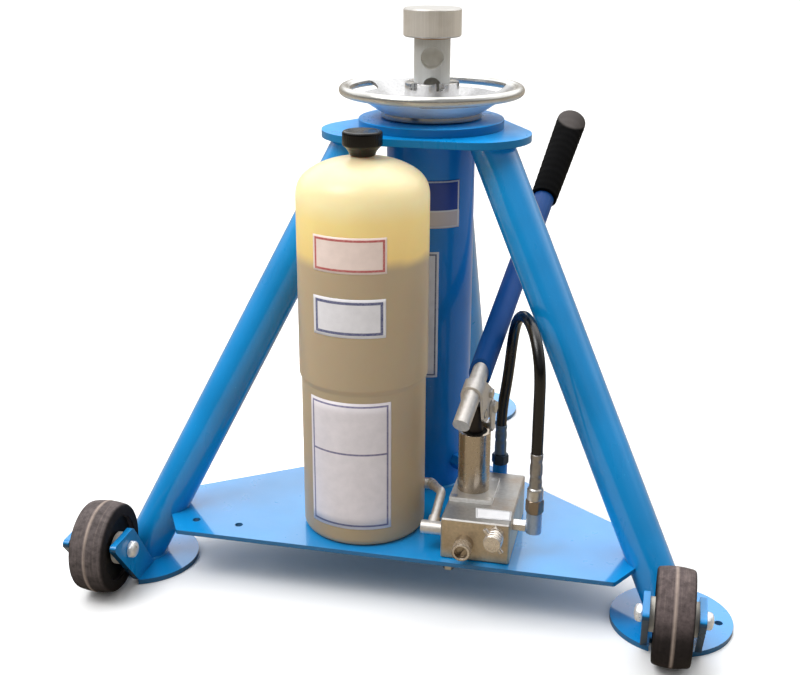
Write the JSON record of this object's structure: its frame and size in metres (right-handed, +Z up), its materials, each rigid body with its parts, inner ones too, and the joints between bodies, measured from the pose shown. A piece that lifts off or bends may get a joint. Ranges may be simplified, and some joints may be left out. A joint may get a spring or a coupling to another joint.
{
  "type": "tripod jack",
  "caption": "Hydraulic tripod jack: leaning tube legs on foot discs, cylinder with lock handwheel and screw head, hand pump, fluid reservoir and hose on a base plate, transport wheels.",
  "frame": {"origin": "on the floor, on the lift axis", "axes": "+Z up along the lift axis, +X to the right foot's side, +Y towards the back leg; the pump and reservoir are at -Y"},
  "size_m": [0.7512, 0.7291, 0.63],
  "materials": {
    "blue_paint": "gloss",
    "column_blue": "gloss",
    "handle_blue": "gloss",
    "zinc_steel": "satin",
    "dark_steel": "satin",
    "block_steel": "satin",
    "nickel_steel": "satin",
    "chrome": "polished",
    "tyre_rubber": "matt",
    "hub_plastic": "matt",
    "spacer_plastic": "matt",
    "black_rubber": "matt",
    "hose_rubber": "satin",
    "cap_plastic": "satin",
    "tank_plastic": "translucent satin",
    "fluid": "clear",
    "bronze": "satin"
  },
  "bodies": {
    "frame": {"axle_bolts": "zinc_steel", "barrel_flange": "zinc_steel", "base_plate": "blue_paint", "block_bolts": "zinc_steel", "check_cartridges": "dark_steel", "cylinder_base": "dark_steel", "cylinder_pipe": "zinc_steel", "cylinder_tube": "column_blue", "flange_screws": "zinc_steel", "foot_disc_back": "blue_paint", "foot_disc_left": "blue_paint", "foot_disc_right": "blue_paint", "fulcrum_bolt": "zinc_steel", "fulcrum_bracket": "zinc_steel", "gland_bush": "bronze", "head_flange": "blue_paint", "hose_ferrules": "zinc_steel", "hub_spacers": "spacer_plastic", "hydraulic_fluid": "fluid", "leg_back": "blue_paint", "leg_left": "blue_paint", "leg_right": "blue_paint", "outlet_fitting": "zinc_steel", "plunger_wiper": "black_rubber", "pressure_hose": "hose_rubber", "pump_adapter": "zinc_steel", "pump_barrel": "zinc_steel", "pump_block": "block_steel", "pump_elbow": "zinc_steel", "release_gland": "zinc_steel", "relief_plug": "zinc_steel", "reservoir": "tank_plastic", "rod_wiper": "black_rubber", "suction_tee": "zinc_steel", "suction_tube": "zinc_steel", "swivel_nuts": "dark_steel", "top_plate": "blue_paint", "wheel_lugs_left": "blue_paint", "wheel_lugs_right": "blue_paint"},
    "ram": {"ram": "nickel_steel", "piston": "dark_steel", "piston_seal": "black_rubber"},
    "lock_wheel": {"lock_nut": "nickel_steel", "handwheel": "chrome"},
    "load_head": {"load_head": "nickel_steel", "thrust_washer": "zinc_steel"},
    "screw": {"extension_screw": "nickel_steel"},
    "wheel_right": {"wheel_tyre_right": "tyre_rubber", "wheel_hub_right": "hub_plastic"},
    "wheel_left": {"wheel_tyre_left": "tyre_rubber", "wheel_hub_left": "hub_plastic"},
    "lever": {"lever_rod": "zinc_steel", "lever_strap": "zinc_steel", "handle_tube": "handle_blue", "handle_grip": "black_rubber", "clevis_bolt": "zinc_steel"},
    "plunger": {"plunger": "dark_steel", "plunger_pin": "dark_steel"},
    "release_valve": {"release_valve": "zinc_steel"},
    "filler_cap": {"filler_cap": "cap_plastic"}
  },
  "joints": [
    {"name": "ram_lift", "type": "slide", "parent": "frame", "child": "ram", "axis": [0, 0, 1], "range_m": [0, 0.305]},
    {"name": "lock_wheel_turn", "type": "hinge", "parent": "ram", "child": "lock_wheel", "pos_m": [0, 0, 0.52], "axis": [0, 0, 1], "continuous": true},
    {"name": "screw_extension", "type": "slide", "parent": "ram", "child": "load_head", "axis": [0, 0, 1], "range_m": [0, 0.0762]},
    {"name": "screw_turn", "type": "hinge", "parent": "load_head", "child": "screw", "pos_m": [0, 0, 0.577], "axis": [0, 0, 1], "range_deg": [0, 4320]},
    {"name": "wheel_right_roll", "type": "hinge", "parent": "frame", "child": "wheel_right", "pos_m": [0.3101, -0.25415, 0.0535], "axis": [1, 0, 0], "continuous": true},
    {"name": "wheel_left_roll", "type": "hinge", "parent": "frame", "child": "wheel_left", "pos_m": [-0.3191, -0.25415, 0.0535], "axis": [1, 0, 0], "continuous": true},
    {"name": "handle_stroke", "type": "hinge", "parent": "frame", "child": "lever", "pos_m": [0.08415, -0.1162, 0.209], "axis": [0.9898, -0.1426, 0], "range_deg": [-15, 20]},
    {"name": "plunger_stroke", "type": "slide", "parent": "frame", "child": "plunger", "axis": [0, 0, 1], "range_m": [-0.0076, 0.0058]},
    {"name": "release_turn", "type": "hinge", "parent": "frame", "child": "release_valve", "pos_m": [0.118, -0.208, 0.099], "axis": [0, -1, 0], "range_deg": [0, 360]},
    {"name": "cap_turn", "type": "hinge", "parent": "frame", "child": "filler_cap", "pos_m": [-0.045, -0.139, 0.5], "axis": [0, 0, 1], "range_deg": [0, 540]}
  ],
  "couplings": [
    {"joint": "plunger_stroke", "follows": "handle_stroke", "m_per_rad": -0.0209},
    {"joint": "screw_extension", "follows": "screw_turn", "m_per_rad": 0.0010106}
  ]
}
